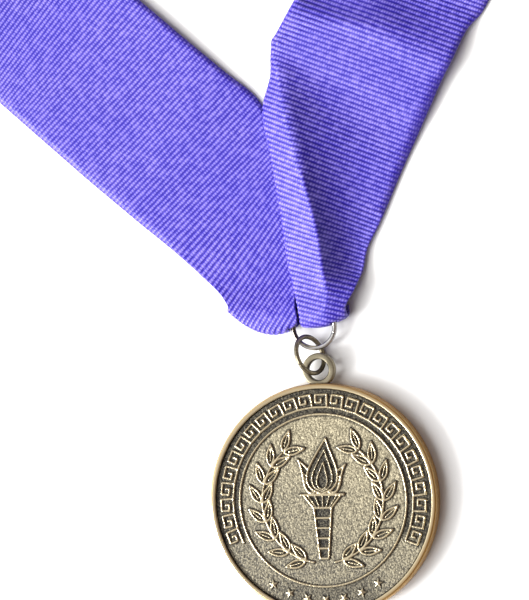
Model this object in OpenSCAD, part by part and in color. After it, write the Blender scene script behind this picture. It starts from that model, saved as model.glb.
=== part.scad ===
// Cast souvenir medallion on a ribbed neck ribbon, lying on a flat surface.
// The origin is the centre of the medal's back, +Y runs through its loop, +Z is up.

/* [Medal] */
// Diameter of the cast disc
medal_d = 50; // [48:0.5:54]
// Thickness of the disc at its rim
medal_t = 4; // [3.4:0.2:5]
// Width of the plain raised rim
rim_w = 1.15; // [0.9:0.05:1.6]
// Depth of the sunk face below the rim
sunk = 0.65; // [0.5:0.05:0.8]
// Height of the raised lines above the sunk face
relief = 0.4; // [0.2:0.05:0.45]
// Radius of the inner ring line
ring_line_r = 18.4; // [18:0.1:19]
// Width of the raised lines
line_w = 0.4; // [0.3:0.05:0.5]

/* [Cast loop] */
// Outer diameter of the cast loop
loop_d = 7.2; // [6.8:0.1:7.6]
// Diameter of the hole in the cast loop
loop_bore = 4.5; // [4.5:0.1:4.8]
// Thickness of the cast loop
loop_t = 1.8; // [1.5:0.1:1.8]

/* [Wire rings] */
// Mean radius of the jump ring
jump_r = 4.07; // [4.05:0.01:4.09]
// Wire of the jump ring
jump_wire = 1.0; // [0.8:0.05:1]
// Mean radius of the ring in the ribbon
hold_r = 4.59; // [4.55:0.01:4.6]
// Wire of the ring in the ribbon
hold_wire = 1.04; // [0.8:0.02:1.04]

/* [Ribbon] */
// Width of the ribbon
ribbon_w = 38; // [36:0.5:40]
// Thickness of the ribbon
cloth = 1; // [0.8:0.1:1]
// Straight run from the strands' crossing to the round part of the loop
run = 134.7; // [125:0.1:145]

/* [Artwork] */
// Leaves along each side of each branch
leaves = 8; // [5:1:8]
// Units of the key border
keys = 25; // [20:1:25]
// Stars in the lower part of the border
stars = 7; // [5:2:9]

/* [Hidden] */

brass_colour = "darkkhaki";
dark_brass_colour = "olive";
nickel_colour = "silver";
ribbon_colour = "slateblue";

medal_r = medal_d / 2;
edge_round = 0.5;
face_z = medal_t - sunk;
root = 0.2;                 // how far raised work is rooted in the face
loop_y = medal_r + 2.9;
loop_z = 1.5;
loop_round = 0.35;

// The rings and the ribbon are laid out for a disc of this radius, and move with the loop of another
laid_out_for = 25;
hang = [0, medal_r - laid_out_for, 0];

// Where the rings lie: centre, the way that the plane's normal leans, and how far it leans
jump_at = [-1.42, 31.11, 4.15];
jump_lean = [0, 62.9, 16.6];
hold_at = [-0.88, 37.16, 2.23];
hold_lean = [0, 5, 260.5];

// The two strands leave the crossing at these headings
crossing = [-8.2, 57.7];
left_heading = 137.8;
right_heading = 61.13;
twist_start = 74;           // distance from the crossing at which a strand starts to turn on edge
twist_run = 112;            // distance over which it turns from flat to standing
station = 11;               // spacing of the sections on the straight runs
arc_step = 9;               // angle between the sections on the round part
first_left = 42;            // distance of the first free section on each side
first_right = 76;

columns = 15;               // cells across the ribbon
ridge_col = 6;              // the column on the ridge of the right strand
side_col = 9;               // where its left side starts to roll under
curl_col = 14;              // where the roll ends and the hem starts
side_roll = 0.65;           // radius of that roll, at the middle of the cloth
fold_steps = 6;             // steps round the fold at the ring
back_z = cloth / 2;

// Left strand, from the fold at the ring upwards. The sag bends a section down towards the ring.
// outer x, outer y, inner x, inner y, sag, underside at the outer edge, underside at the inner edge
left_rows = [
    [-20.2, 42.1, -4.2, 39.3, 3.2, 1.2, 3.15],
    [-20.7, 43.2, -4.5, 41.4, 2.7, 1.2, 3.1],
    [-21.6, 44.6, -4.65, 44.5, 1.9, 1.1, 1.8],
    [-22.8, 45.9, -4.3, 48.5, 1.2, 0.8, 0.85],
    [-25.9, 48.9, -5.0, 57.0, 0.3, 0.3, 0.4],
    [-29.5, 52.3, -6.2, 67.0, 0, 0.1, 0.1],
    [-34.0, 56.3, -7.8, 77.0, 0, 0, 0],
    [-39.6, 61.0, -11.9, 86.75, 0, 0, 0],
    [-44.8, 65.5, -19.4, 93.6, 0, 0, 0.4],
];

// Right strand, from the fold at the ring upwards. The ridge is where the cloth stands highest.
// outer x, outer y, side x, side y, sag, ridge at (share of the width), underside at the outer edge,
// underside at the ridge, underside at the side, degrees rolled under, hem beyond the roll, how hollow
// the slope is between the outer edge and the ridge
right_rows = [
    [6.6, 40.9, -3.75, 39.2, 0.8, 0.41, 1.5, 4.1, 3.4, 30, 0.4, 0.5],
    [8.6, 44.9, -4.3, 43.2, 0.6, 0.4, 1.4, 4.3, 3.7, 45, 0.3, 1.1],
    [9.3, 46.6, -4.95, 46.2, 0.5, 0.41, 1.1, 4.45, 3.6, 95, 0.8, 1.6],
    [10.0, 48.2, -5.7, 49.6, 0.2, 0.43, 1.0, 4.6, 3.45, 150, 2.0, 1.8],
    [11.2, 53.2, -7.0, 60.0, 0, 0.49, 0.7, 4.5, 3.0, 180, 3.6, 2],
    [14.3, 59.1, -8.7, 72.5, 0, 0.65, 0.6, 4.1, 2.6, 180, 4.0, 2],
    [19.6, 70.2, -10.4, 85.6, 0, 0.78, 0.6, 3.2, 2.55, 180, 2.0, 2],
    [22.4, 75.6, -8.5, 93.2, 0, 0.87, 0.5, 1.9, 1.7, 60, 1.2, 2],
    [25.2, 80.9, -8.3, 99.2, 0, 0.88, 0.5, 0.7, 0.5, 0, 2.0, 2],
    [31.6, 93.2, -1.1, 112.0, 0, 0.7, 0.4, 0.4, 0.3, 0, 6.0, 2],
];

function lerp(a, b, t) = a + (b - a) * t;
function ease(t) = let (c = min(max(t, 0), 1)) c * c * (3 - 2 * c);
function unit(v) = v / max(norm(v), 1e-9);
function flat_unit(a) = [cos(a), sin(a), 0];
function at_z(p, z) = [p[0], p[1], z];

// A section of the left strand: a gently sagging line from the outer to the inner edge
function left_row(r) = [
    for (j = [0:columns])
        let (f = j / columns)
        [
            lerp(r[0], r[2], f),
            lerp(r[1], r[3], f) - 4 * r[4] * f * (1 - f),
            lerp(r[5], r[6], ease(f)) + cloth / 2,
        ]
];

// A section of the right strand, from its outer edge over the ridge to the rolled side and the hem
function right_row(r) =
    let (
        start = [r[0], r[1]],
        across = [r[2] - r[0], r[3] - r[1]],
        width = norm(across),
        dir = across / width,
        ridge_q = r[5] * width,
        slope = r[9] == 0 ? 0 : atan2(r[7] - r[8], width - ridge_q),
        bulge = r[9] < 90
            ? side_roll * (sin(r[9]) - sin(slope)) + r[10] * cos(r[9]) + cloth / 2 * sin(r[9])
            : side_roll * (1 - sin(slope)) + cloth / 2,
        side_q = width - bulge,
        turn = max(r[9] - slope, 0),
        roll = side_roll * turn * PI / 180,
        rest = roll + r[10],
        curl = max(roll, 0.3 * rest),
        side_p = [side_q, r[8] + cloth / 2],
        centre = side_p + side_roll * [-sin(slope), -cos(slope)]
    )
    [
        for (j = [0:columns])
            let (
                qz = j <= ridge_col
                    ? let (t = j / ridge_col) [ridge_q * t, lerp(r[6], r[7], pow(t, r[11])) + cloth / 2]
                    : j <= side_col
                    ? let (t = (j - ridge_col) / (side_col - ridge_col))
                        [lerp(ridge_q, side_q, t), lerp(r[7], r[8], t) + cloth / 2]
                    : let (
                        u = j <= curl_col ? curl * (j - side_col) / (curl_col - side_col) : rest,
                        a = slope + min(u / side_roll * 180 / PI, turn),
                        past = max(u - roll, 0)
                    )
                        centre + side_roll * [sin(a), cos(a)] + past * [cos(a), -sin(a)],
                f = qz[0] / width,
                p = start + dir * qz[0]
            )
            [p[0], p[1] - 4 * r[4] * f * (1 - f), qz[1]]
    ];

// The fold at the ring: each point of the last section is carried round and under, away from the strand
function fold_row(row, fold, step) =
    let (turn = 180 * step / fold_steps)
    [
        for (j = [0:columns])
            let (
                p = row[j],
                radius = (p[2] - back_z) / 2,
                out = flat_unit(lerp(fold[0], fold[1], ease(j / fold[2])))
            )
            at_z(p, back_z + radius) + radius * (sin(turn) * out + [0, 0, cos(turn)])
    ];

// The end that lies behind: a short plain tongue, longer towards the inner edge
tongue_short = 0.6;
tongue_long = 5.5;
function tongue_row(row, short, long) = [
    for (j = [0:columns]) [row[j][0], row[j][1] + lerp(short, long, ease(2 * j / columns)), back_z]
];

loop_turn = 360 - (180 - (left_heading - right_heading));
loop_radius = run * tan((left_heading - right_heading) / 2);
left_tangent = crossing + run * [cos(left_heading), sin(left_heading)];
loop_centre = left_tangent + loop_radius * [sin(left_heading), -cos(left_heading)];

// How far the ribbon has turned on edge at a distance from the crossing
function roll_at(distance) = 90 * ease((distance - twist_start) / twist_run);

// A free section, with its lower edge on the surface
function free_row(centre, heading, roll) =
    let (
        inward = [sin(heading), -cos(heading), 0],
        along = cos(roll) * inward + [0, 0, sin(roll)],
        height = ribbon_w / 2 * sin(roll) + cloth / 2 * cos(roll)
    )
    [for (j = [0:columns]) at_z(centre, height) + ribbon_w * (j / columns - 0.5) * along];

// heading of the fold at the outer edge, heading of the rest, columns over which it changes
left_fold = [-110, -97, 6];
right_fold = [-75, -90, 3];
left_front = [for (r = left_rows) left_row(r)];
right_front = [for (r = right_rows) right_row(r)];

function left_straight() = [
    for (d = [first_left:station:run])
        free_row(crossing + d * [cos(left_heading), sin(left_heading)], left_heading, roll_at(d))
];
function round_part() = [
    for (a = [0:arc_step:loop_turn])
        let (
            heading = left_heading - a,
            arc = loop_radius * PI / 180,
            nearest = run + arc * min(a, loop_turn - a)
        )
        free_row(loop_centre - loop_radius * [sin(heading), -cos(heading)], heading, roll_at(nearest))
];
function right_straight() = [
    for (d = [run - station / 3:-station:first_right])
        free_row(crossing + d * [cos(right_heading), sin(right_heading)], right_heading - 180, roll_at(d))
];
function turned(list) = [for (i = [len(list) - 1:-1:0]) list[i]];

// Each of the two slits in the fold: the steps of the fold and the columns that it takes
// first step, last step, first column, last column
left_slit = [1, 5, 13, 15];
right_slit = [1, 4, 3, 6];

ribbon_rows = concat(
    [tongue_row(left_front[0], tongue_short, tongue_long)],
    [for (k = [fold_steps:-1:1]) fold_row(left_front[0], left_fold, k)],
    left_front,
    left_straight(),
    round_part(),
    right_straight(),
    turned(right_front),
    [for (k = [1:fold_steps]) fold_row(right_front[0], right_fold, k)],
    [tongue_row(right_front[0], tongue_short, tongue_long)]
);
last_row = len(ribbon_rows) - 1;
ring_slits = [
    [fold_steps + 1 - left_slit[1], fold_steps + 1 - left_slit[0], left_slit[2], left_slit[3]],
    [last_row - 1 - fold_steps + right_slit[0], last_row - 1 - fold_steps + right_slit[1],
        right_slit[2], right_slit[3]],
];

// The cloth's normal at a point of the grid, from the lines through it both ways
function step_dir(a, b) = unit(b - a);
function grid_normal(g, i, j) =
    let (
        last = len(g) - 1,
        a = (i < last ? step_dir(g[i][j], g[i + 1][j]) : [0, 0, 0])
            + (i > 0 ? step_dir(g[i - 1][j], g[i][j]) : [0, 0, 0]),
        b = (j < columns ? step_dir(g[i][j], g[i][j + 1]) : [0, 0, 0])
            + (j > 0 ? step_dir(g[i][j - 1], g[i][j]) : [0, 0, 0])
    )
    unit(cross(b, a));

// A closed sheet of even thickness round a grid of middle points, with a slit where cells are left out
module sheet(grid, thickness, slits) {
    rows = len(grid);
    cols = columns + 1;
    function in_slit(i, j, k = 0) =
        k < len(slits) && (
            (i >= slits[k][0] && i < slits[k][1] && j >= slits[k][2] && j < slits[k][3])
            || in_slit(i, j, k + 1)
        );
    function solid(i, j) = i >= 0 && i < rows - 1 && j >= 0 && j < columns && !in_slit(i, j);
    count = rows * cols;
    normals = [for (i = [0:rows - 1]) [for (j = [0:columns]) grid_normal(grid, i, j)]];
    half = thickness / 2;
    points = concat(
        [for (i = [0:rows - 1]) for (j = [0:columns]) grid[i][j] + half * normals[i][j]],
        [for (i = [0:rows - 1]) for (j = [0:columns]) grid[i][j] - half * normals[i][j]]
    );
    kept = [for (i = [0:rows - 2]) for (j = [0:columns - 1]) if (solid(i, j)) [i, j]];
    cells = [for (c = kept) c[0] * cols + c[1]];
    upper = [for (a = cells) each [[a, a + 1, a + cols], [a + 1, a + cols + 1, a + cols]]];
    lower = [
        for (a = cells) let (c = a + count) each [[c, c + cols, c + 1], [c + 1, c + cols, c + cols + 1]]
    ];
    bounds = [
        for (c = kept)
            let (i = c[0], j = c[1], a = i * cols + j, b = a + cols)
            each [
                if (!solid(i - 1, j)) [a, a + 1],
                if (!solid(i + 1, j)) [b + 1, b],
                if (!solid(i, j - 1)) [b, a],
                if (!solid(i, j + 1)) [a + 1, b + 1],
            ]
    ];
    walls = [
        for (e = bounds)
            each [[e[0], e[0] + count, e[1]], [e[1], e[0] + count, e[1] + count]]
    ];
    faces = concat(upper, lower, walls);
    polyhedron(points, [for (f = faces) [f[2], f[1], f[0]]], convexity = 8);
}

module wire_ring(radius, wire) {
    rotate_extrude() translate([radius, 0]) circle(d = wire, $fn = 24);
}

// A straight raised line between two points
module bar(a, b, w = line_w) {
    d = b - a;
    translate(a) rotate(atan2(d[1], d[0])) translate([-w / 2, -w / 2]) square([norm(d) + w, w]);
}

module raised() {
    translate([0, 0, face_z - root]) linear_extrude(relief + root) children();
}

// Laurel wreath: each leaf is a lens in outline with a vein along its middle
wreath_r = 13.4;
wreath_from = -80;
wreath_to = 50;
first_leaf = 6;             // angle from the foot of a branch to its first pair of leaves
leaf_l = 5.0;
leaf_w = 2.1;
leaf_steps = 4;
leaf_spread = 30;
leaf_stalk = 0.3;
leaf_full = 0.8;            // below 1 a leaf is fullest nearer its foot
fine_w = 0.3;               // width of veins and flutes
vein_from = 0.2;            // where a vein starts and ends, as shares of the leaf
vein_to = 0.72;

function lens_half(w, t) = w / 2 * sin(180 * pow(t, leaf_full));
function lens(l, w) = concat(
    [for (k = [0:leaf_steps]) let (t = k / leaf_steps) [l * t, lens_half(w, t)]],
    [for (k = [leaf_steps - 1:-1:1]) let (t = k / leaf_steps) [l * t, -lens_half(w, t)]]
);

module leaf() {
    difference() {
        polygon(lens(leaf_l, leaf_w));
        translate([line_w, 0]) polygon(lens(leaf_l - 2.5 * line_w, leaf_w - 1.5 * line_w));
    }
    bar([vein_from * leaf_l, 0], [vein_to * leaf_l, 0], fine_w);
}

module branch() {
    steps = leaves * 2;
    for (k = [0:steps - 1]) {
        a = lerp(wreath_from, wreath_to, k / steps);
        b = lerp(wreath_from, wreath_to, (k + 1) / steps);
        bar(wreath_r * [cos(a), sin(a)], wreath_r * [cos(b), sin(b)]);
    }
    for (k = [0:leaves - 1]) {
        a = lerp(wreath_from + first_leaf, wreath_to, k / (leaves - 1));
        for (side = [-1, 1])
            translate(wreath_r * [cos(a), sin(a)])
                rotate(a + 90 - side * leaf_spread)
                    translate([leaf_stalk, 0]) leaf();
    }
}

// Torch: a banded handle, a fluted cup with a lip, and a flame of nested tongues in outline
cup_top = 1.2;
cup_h = 2.8;
cup_w = 8.4;
lip_out = 0.5;
lip_w = 0.56;
flutes = [-0.5, -0.25, 0, 0.25, 0.5];
flute_foot = 1.4;           // how far the flutes spread at the cup's foot and lip, as shares of each
flute_top = 0.8;
handle_foot = -12.4;
handle_w = [1.9, 3.9];
bands = 4;
flame_top = 13.2;
flame_w = 7.4;
flame_lift = 0.2;           // how far the flame stands off the cup's lip
flame_full = 0.62;          // below 1 a tongue is fullest nearer its foot
flame_slim = 0.25;          // how much slimmer a tongue gets towards its tip
flame_steps = 6;
// Nested tongues: lift, share of the height, share of the width, lean
nested = [[0, 1, 1, 1.1], [0.5, 0.76, 0.66, 0.8], [0.9, 0.5, 0.34, 0.45]];
// Tongues beside them: side, foot out from the middle, share of the height, width, lean
beside = [[-1, 2.2, 0.62, 3.2, 2.9], [1, 2.2, 0.52, 3.2, 3.1]];
inner_share = 0.6;          // the second outline inside each tongue beside
inner_lift = 0.3;

module outline_band(points, w) {
    count = len(points);
    for (k = [0:count - 1]) bar(points[k], points[(k + 1) % count], w);
}

module torch() {
    top_w = handle_w[1] / 2;
    foot_w = handle_w[0] / 2;
    cup_foot = cup_top - cup_h;
    outline_band(
        [[-foot_w, handle_foot], [foot_w, handle_foot], [top_w, cup_foot], [-top_w, cup_foot]],
        line_w
    );
    for (k = [1:bands]) {
        t = k / (bands + 1);
        w = lerp(foot_w, top_w, t);
        y = lerp(handle_foot, cup_foot, t);
        bar([-w, y], [w, y]);
    }
    outline_band(
        [[-top_w, cup_foot], [top_w, cup_foot], [cup_w / 2, cup_top], [-cup_w / 2, cup_top]],
        line_w
    );
    bar([-cup_w / 2 - lip_out, cup_top], [cup_w / 2 + lip_out, cup_top], lip_w);
    for (share = flutes)
        bar([flute_foot * top_w * share, cup_foot], [flute_top * cup_w * share, cup_top], fine_w);
}

// A tongue of flame: two leaning curves that meet in a tip
function tongue_half(width, t) = width / 2 * sin(180 * pow(t, flame_full)) * (1 - flame_slim * t);
function tongue(base, height, width, lean) = concat(
    [for (k = [0:flame_steps - 1]) let (t = k / flame_steps)
        base + [tongue_half(width, t) + lean * t * t, height * t]],
    [base + [lean, height]],
    [for (k = [flame_steps - 1:-1:1]) let (t = k / flame_steps)
        base + [-tongue_half(width, t) + lean * t * t, height * t]]
);

module flame() {
    foot = cup_top + flame_lift;
    tall = flame_top - foot;
    for (n = nested)
        outline_band(tongue([0, foot + n[0]], n[1] * tall, n[2] * flame_w, n[3]), n[0] == 0 ? line_w : fine_w);
    difference() {
        for (b = beside) {
            outline_band(tongue([b[0] * b[1], foot], b[2] * tall, b[3], b[0] * b[4]), line_w);
            outline_band(
                tongue([b[0] * (b[1] + inner_lift), foot + inner_lift], inner_share * b[2] * tall,
                    inner_share * b[3], inner_share * b[0] * b[4]),
                fine_w
            );
        }
        polygon(tongue([0, foot], tall, flame_w, nested[0][3]));
    }
}

// Key border round the upper part and stars round the lower part
border_r = (ring_line_r + line_w / 2 + medal_r - rim_w) / 2;
border_h = 2.7;
key_from = -26;
key_span = 232;
// One unit of the key, in shares of its width and half height
key_path = [[1, -1], [0, -1], [0, 1], [0.72, 1], [0.72, -0.25], [0.36, -0.25], [0.36, 0.3]];
star_r = 1.25;
star_waist = 0.42;
star_span = 66;

module key_unit(width) {
    points = [for (p = key_path) [p[0] * width, p[1] * border_h / 2]];
    for (k = [0:len(points) - 2]) bar(points[k], points[k + 1]);
}

module star() {
    polygon([for (k = [0:9]) (k % 2 == 0 ? star_r : star_waist * star_r) * [sin(36 * k), cos(36 * k)]]);
}

module border() {
    unit_angle = key_span / keys;
    unit_width = 2 * border_r * sin(unit_angle / 2);
    for (k = [0:keys - 1])
        rotate(key_from + (k + 0.5) * unit_angle - 90)
            translate([unit_width / 2, border_r]) mirror([1, 0]) key_unit(unit_width);
    for (k = [0:stars - 1])
        rotate(180 + star_span * (k / (stars - 1) - 0.5)) translate([0, border_r]) star();
}

module disc() {
    rotate_extrude()
        difference() {
            union() {
                square([medal_r - edge_round, medal_t]);
                translate([0, edge_round]) square([medal_r, medal_t - 2 * edge_round]);
                for (z = [edge_round, medal_t - edge_round])
                    translate([medal_r - edge_round, z]) circle(edge_round, $fn = 24);
            }
            translate([-1, face_z]) square([medal_r - rim_w + 1, sunk + 1]);
        }
}

module ring_line() {
    rotate_extrude() translate([ring_line_r - line_w / 2, face_z - root]) square([line_w, relief + root]);
}

module cast_loop() {
    mid = (loop_bore + loop_d) / 4;
    wide = (loop_d - loop_bore) / 2;
    translate([0, loop_y, loop_z])
        rotate_extrude() {
            translate([mid - wide / 2, loop_round]) square([wide, loop_t - 2 * loop_round]);
            translate([mid - wide / 2 + loop_round, 0]) square([wide - 2 * loop_round, loop_t]);
            for (x = [mid - wide / 2 + loop_round, mid + wide / 2 - loop_round])
                for (z = [loop_round, loop_t - loop_round])
                    translate([x, z]) circle(loop_round, $fn = 24);
        }
}

module medal() {
    color(brass_colour) {
        disc();
        cast_loop();
        ring_line();
        raised() {
            branch();
            mirror([1, 0]) branch();
        }
        raised() torch();
        raised() flame();
        raised() border();
    }
}

module medal_ring() {
    color(dark_brass_colour) translate(hang + jump_at) rotate(jump_lean) wire_ring(jump_r, jump_wire);
}

module ribbon_ring() {
    color(nickel_colour) translate(hang + hold_at) rotate(hold_lean) wire_ring(hold_r, hold_wire);
}

module neck_ribbon() {
    color(ribbon_colour) translate(hang) sheet(ribbon_rows, cloth, ring_slits);
}

medal();
medal_ring();
ribbon_ring();
neck_ribbon();
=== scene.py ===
# Souvenir medallion on its neck ribbon: the finished looks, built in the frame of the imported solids.
# Sizes of the shapes are millimetres, as in the part's source, and become metres when a mesh is made.
# Sizes in shaders, and the places of lights and floor, are metres.
import math

import bpy
import numpy as np
from mathutils import Euler, Matrix, Vector


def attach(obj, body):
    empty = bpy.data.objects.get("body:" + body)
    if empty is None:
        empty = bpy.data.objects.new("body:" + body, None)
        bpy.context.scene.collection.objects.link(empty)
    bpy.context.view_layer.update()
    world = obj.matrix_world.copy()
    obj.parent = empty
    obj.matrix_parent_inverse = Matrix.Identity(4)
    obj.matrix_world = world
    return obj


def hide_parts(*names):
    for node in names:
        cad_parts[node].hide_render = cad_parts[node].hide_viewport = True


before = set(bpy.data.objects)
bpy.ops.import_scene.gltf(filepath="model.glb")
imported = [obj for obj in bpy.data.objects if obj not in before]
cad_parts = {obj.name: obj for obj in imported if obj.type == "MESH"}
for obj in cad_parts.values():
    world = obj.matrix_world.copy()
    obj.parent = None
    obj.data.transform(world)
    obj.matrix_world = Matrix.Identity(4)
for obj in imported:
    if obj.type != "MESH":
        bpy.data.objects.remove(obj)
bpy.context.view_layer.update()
MM = 0.001

# Camera: where it stands, what it aims at and which way is up in the picture
CAMERA_EYE = (144.79, 25.07, 534.68)
CAMERA_AIM = (-12.36, 43.44, 0.0)
CAMERA_UP = (0.0431, 0.9988, 0.0216)
SENSOR_HEIGHT = 24.0
LENS = 102.88
CLIP = (0.01, 20.0)


def add_camera():
    data = bpy.data.cameras.new("camera")
    data.sensor_fit = "VERTICAL"
    data.sensor_height = SENSOR_HEIGHT
    data.lens = LENS
    data.clip_start, data.clip_end = CLIP
    camera = bpy.data.objects.new("camera", data)
    bpy.context.scene.collection.objects.link(camera)
    eye = Vector(CAMERA_EYE)
    back = (eye - Vector(CAMERA_AIM)).normalized()
    right = Vector(CAMERA_UP).cross(back).normalized()
    up = back.cross(right)
    turn = Matrix((right, up, back)).transposed()
    camera.matrix_world = Matrix.Translation(eye * MM) @ turn.to_4x4()
    bpy.context.scene.camera = camera


add_camera()


# Small helpers for shader trees
def put(tree, kind, inputs=None, **settings):
    node = tree.nodes.new(kind)
    for name, value in settings.items():
        setattr(node, name, value)
    for name, value in (inputs or {}).items():
        if isinstance(value, bpy.types.NodeSocket):
            tree.links.new(value, node.inputs[name])
        else:
            node.inputs[name].default_value = value
    return node


def calc(tree, operation, a, b=0.0, c=0.0, clamp=False):
    node = put(tree, "ShaderNodeMath", {0: a, 1: b, 2: c}, operation=operation, use_clamp=clamp)
    return node.outputs[0]


def around_zero(tree, value, share):
    """A value from 0 to 1, scaled and moved so that its middle is at zero."""
    return calc(tree, "MULTIPLY_ADD", value, share, -share / 2)


def noise(tree, place, scale, detail):
    node = put(tree, "ShaderNodeTexNoise", {"Vector": place, "Scale": scale, "Detail": detail})
    return node.outputs["Fac"]


def object_place(tree):
    return put(tree, "ShaderNodeTexCoord").outputs["Object"]


def blend_colour(tree, share, a, b, how="MIX"):
    node = put(tree, "ShaderNodeMix", {0: share}, data_type="RGBA", blend_type=how)
    for socket, value in ((node.inputs[6], a), (node.inputs[7], b)):
        if isinstance(value, bpy.types.NodeSocket):
            tree.links.new(value, socket)
        else:
            socket.default_value = value
    return node.outputs[2]


def soft_step(tree, value, low, high):
    node = put(
        tree, "ShaderNodeMapRange",
        {"Value": value, "From Min": low, "From Max": high, "To Min": 0.0, "To Max": 1.0},
        interpolation_type="SMOOTHSTEP",
    )
    return node.outputs["Result"]


def painted(tree, name):
    return put(tree, "ShaderNodeAttribute", attribute_name=name).outputs["Fac"]


def rgb(red, green, blue):
    return (red, green, blue, 1.0)


def new_group(name, inputs, outputs):
    group = bpy.data.node_groups.new(name, "ShaderNodeTree")
    for label, kind, value in inputs:
        socket = group.interface.new_socket(label, in_out="INPUT", socket_type="NodeSocket" + kind)
        socket.default_value = value
    for label, kind in outputs:
        group.interface.new_socket(label, in_out="OUTPUT", socket_type="NodeSocket" + kind)
    return group, group.nodes.new("NodeGroupInput"), group.nodes.new("NodeGroupOutput")


def new_material(name):
    material = bpy.data.materials.new(name)
    material.use_nodes = True
    return material, material.node_tree, material.node_tree.nodes["Principled BSDF"]


def use_group(tree, group, inputs):
    return put(tree, "ShaderNodeGroup", inputs, node_tree=group)


# Shader groups shared by the metals
def make_metal_grain():
    """Cast or drawn metal: a fine grain, slow mottling and a height for bump."""
    group, given, out = new_group(
        "metal grain",
        [("Grain Size", "Float", 0.0003), ("Mottle Size", "Float", 0.006)],
        [("Grain", "Float"), ("Mottle", "Float"), ("Height", "Float")],
    )
    place = object_place(group)
    fine = noise(group, place, calc(group, "DIVIDE", 1.0, given.outputs["Grain Size"]), 3.0)
    slow = noise(group, place, calc(group, "DIVIDE", 1.0, given.outputs["Mottle Size"]), 2.0)
    group.links.new(soft_step(group, fine, 0.3, 0.7), out.inputs["Grain"])
    group.links.new(soft_step(group, slow, 0.35, 0.65), out.inputs["Mottle"])
    group.links.new(fine, out.inputs["Height"])
    return group


# Antique finish: how far the grain brightens the ground and breaks up the patina and the painted shade
GRAIN_BRIGHT = 0.92
GRAIN_BREAK = 0.25
# Its roughness: on the ground, how much less where rubbed and how much more where the patina lies and
# where shade is painted
GROUND_ROUGH = 0.5
RUBBED_SMOOTH = 0.22
PATINA_ROUGH = 0.06


def make_antique_finish():
    """Antiqued brass: bright where rubbed, dark where the patina lies and where shade is painted, with a
    matching roughness.
    """
    group, given, out = new_group(
        "antique finish",
        [
            ("Rubbed", "Float", 1.0), ("Patina And Shade", "Float", 0.0), ("Grain", "Float", 0.5),
            ("Bright", "Color", rgb(0.9, 0.75, 0.4)), ("Ground", "Color", rgb(0.4, 0.34, 0.2)),
            ("Dark", "Color", rgb(0.02, 0.02, 0.02)),
        ],
        [("Color", "Color"), ("Roughness", "Float")],
    )
    rubbed = given.outputs["Rubbed"]
    grain = given.outputs["Grain"]
    patina_and_shade = given.outputs["Patina And Shade"]
    bright = given.outputs["Bright"]
    lit = calc(group, "MULTIPLY", grain, GRAIN_BRIGHT)
    lit = blend_colour(group, lit, given.outputs["Ground"], bright)
    cover = calc(group, "MULTIPLY_ADD", grain, -GRAIN_BREAK, 1.0)
    cover = calc(group, "MULTIPLY", patina_and_shade, cover, clamp=True)
    ground = blend_colour(group, cover, lit, given.outputs["Dark"])
    colour = blend_colour(group, rubbed, ground, bright)
    rough = calc(group, "MULTIPLY_ADD", rubbed, -RUBBED_SMOOTH, GROUND_ROUGH)
    group.links.new(colour, out.inputs["Color"])
    rough = calc(group, "MULTIPLY_ADD", patina_and_shade, PATINA_ROUGH, rough)
    group.links.new(rough, out.inputs["Roughness"])
    return group


metal_grain = make_metal_grain()
antique_finish = make_antique_finish()


def painted_side_reflection(tree, colour, low, high, dark):
    """Painted dark reflection: the wire's colour turns dark towards its sides, where it mirrors the floor.
    """
    sides = put(tree, "ShaderNodeLayerWeight", {"Blend": 0.5}).outputs["Facing"]
    return blend_colour(tree, soft_step(tree, sides, low, high), colour, dark)


def add_bump(tree, shader, height, strength, depth):
    bump = put(tree, "ShaderNodeBump", {"Height": height, "Strength": strength, "Distance": depth})
    tree.links.new(bump.outputs["Normal"], shader.inputs["Normal"])


def finish_metal(tree, metal, colour, rough, height, strength, depth):
    metal.inputs["Metallic"].default_value = 1.0
    tree.links.new(colour, metal.inputs["Base Color"])
    tree.links.new(rough, metal.inputs["Roughness"])
    add_bump(tree, metal, height, strength, depth)


def make_antique_brass():
    material, tree, metal = new_material("antique_brass")
    grain = use_group(tree, metal_grain, {"Grain Size": 0.00022, "Mottle Size": 0.005})
    # Bright gold turns deeper orange: a little on the raised work by its own tone, and on the rim's right
    # side as a painted reflection
    bright = blend_colour(tree, painted(tree, "warm_tone_and_reflection"), rgb(0.92, 0.84, 0.60), rgb(0.76, 0.44, 0.12))
    # Painted reflection: the ground turns bluish grey towards the lower left of the face
    ground = blend_colour(tree, painted(tree, "painted_grey_reflection"), rgb(0.17, 0.15, 0.10), rgb(0.115, 0.115, 0.12))
    mottled = calc(tree, "MULTIPLY", grain.outputs["Mottle"], 0.15)
    ground = blend_colour(tree, mottled, ground, rgb(0.3, 0.26, 0.17))
    stipple = calc(
        tree, "ADD", calc(tree, "MULTIPLY", painted(tree, "stipple"), 0.7),
        calc(tree, "MULTIPLY", grain.outputs["Grain"], 0.3),
    )
    finish = use_group(tree, antique_finish, {
        "Rubbed": soft_step(tree, painted(tree, "raised"), 0.2, 0.65), "Patina And Shade": painted(tree, "patina_and_shade"),
        "Grain": stipple, "Bright": bright, "Ground": ground, "Dark": rgb(0.018, 0.019, 0.025),
    }).outputs
    finish_metal(
        tree, metal, finish["Color"], finish["Roughness"], grain.outputs["Height"], 0.25, 0.00004
    )
    return material


def make_dark_brass():
    material, tree, metal = new_material("dark_brass")
    grain = use_group(tree, metal_grain, {"Grain Size": 0.0002, "Mottle Size": 0.0016})
    finish = use_group(tree, antique_finish, {
        "Rubbed": calc(tree, "MULTIPLY", grain.outputs["Mottle"], 0.35), "Patina And Shade": 0.35,
        "Grain": grain.outputs["Grain"], "Bright": rgb(0.62, 0.54, 0.36),
        "Ground": rgb(0.17, 0.145, 0.11), "Dark": rgb(0.02, 0.018, 0.015),
    }).outputs
    # Painted dark reflection on the sides of the jump ring's wire
    colour = painted_side_reflection(tree, finish["Color"], 0.18, 0.62, rgb(0.045, 0.036, 0.03))
    finish_metal(tree, metal, colour, finish["Roughness"], grain.outputs["Height"], 0.15, 0.00003)
    return material


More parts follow.
